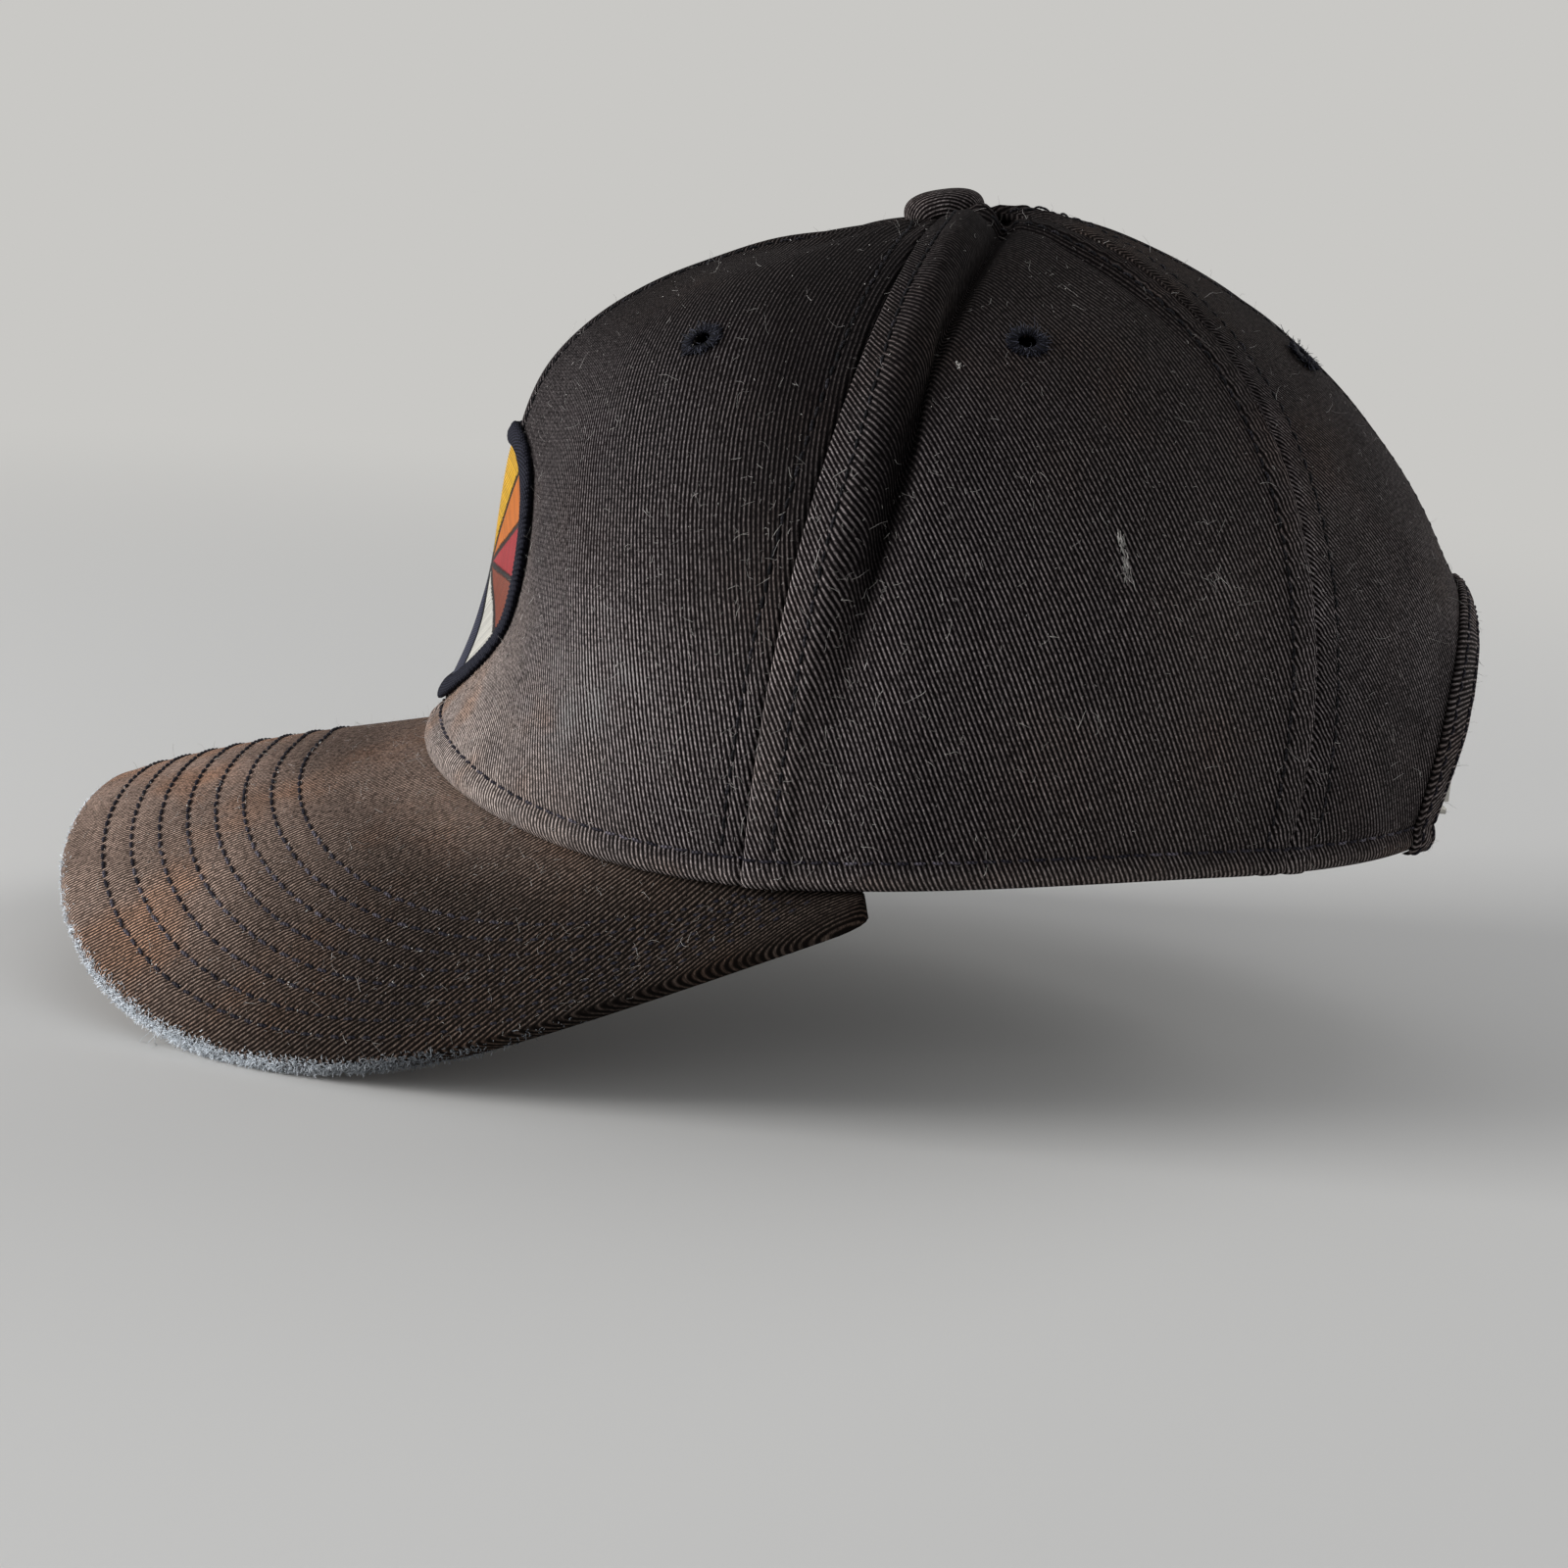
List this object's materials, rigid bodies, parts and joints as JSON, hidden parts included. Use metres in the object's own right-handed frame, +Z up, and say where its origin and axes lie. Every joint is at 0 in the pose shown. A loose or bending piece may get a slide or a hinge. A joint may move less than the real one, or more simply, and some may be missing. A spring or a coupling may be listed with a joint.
{
  "type": "bump cap",
  "caption": "Six-panel cloth cap with a curved visor, a buckled strap over a rear opening and a lift-out vented impact shell with foam pads.",
  "frame": {"origin": "centre of the head opening, on the plane of the rim's lowest points", "axes": "+Z up, visor towards -Y, wearer's left towards +X"},
  "size_m": [0.1804, 0.2644, 0.1582],
  "materials": {
    "twill": "worn black cotton twill, faded towards brown",
    "visor_twill": "worn twill, faded to brown",
    "lining": "black tape and webbing",
    "thread": "dense navy embroidery thread",
    "badge": "satin-stitched colour segments",
    "board": "moulded visor board",
    "steel": "antiqued pressed metal",
    "shell": "moulded, lightly textured",
    "foam": "closed-cell foam"
  },
  "bodies": {
    "cap": {"front_panel_left": "twill", "front_panel_right": "twill", "side_panel_left": "twill", "side_panel_right": "twill", "back_panel_left": "twill", "back_panel_right": "twill", "arch_hem": "twill", "top_button": "twill", "buckle_keeper": "twill", "visor_top_cover": "visor_twill", "visor_under_cover": "visor_twill", "front_stiffener": "lining", "seam_tapes": "lining", "sweatband": "lining", "loop_tabs": "lining", "eyelets": "thread", "badge_border": "thread", "badge_disc": "badge", "visor_board": "board", "button_rivet": "steel", "buckle_frame": "steel", "buckle_pin": "steel"},
    "buckle_lever": {"buckle_lever": "steel"},
    "strap": {"closure_strap": "twill"},
    "insert": {"impact_shell": "shell", "shell_edge_trim": "foam", "crown_pad": "foam", "front_pad": "foam", "side_pad_left": "foam", "side_pad_right": "foam", "rear_pad": "foam", "hook_tabs": "lining"}
  },
  "joints": [
    {"name": "strap_adjust", "type": "hinge", "parent": "cap", "child": "strap", "pos_m": [0, 0.02489, 0.016], "axis": [0, 0, 1], "range_deg": [-6, 6]},
    {"name": "buckle_lever_hinge", "type": "hinge", "parent": "cap", "child": "buckle_lever", "pos_m": [-0.02128, 0.09663, 0.016], "axis": [0, 0, 1], "range_deg": [0, 95]},
    {"name": "insert_lift_out", "type": "slide", "parent": "cap", "child": "insert", "axis": [0, 0, -1], "range_m": [0, 0.14]}
  ]
}
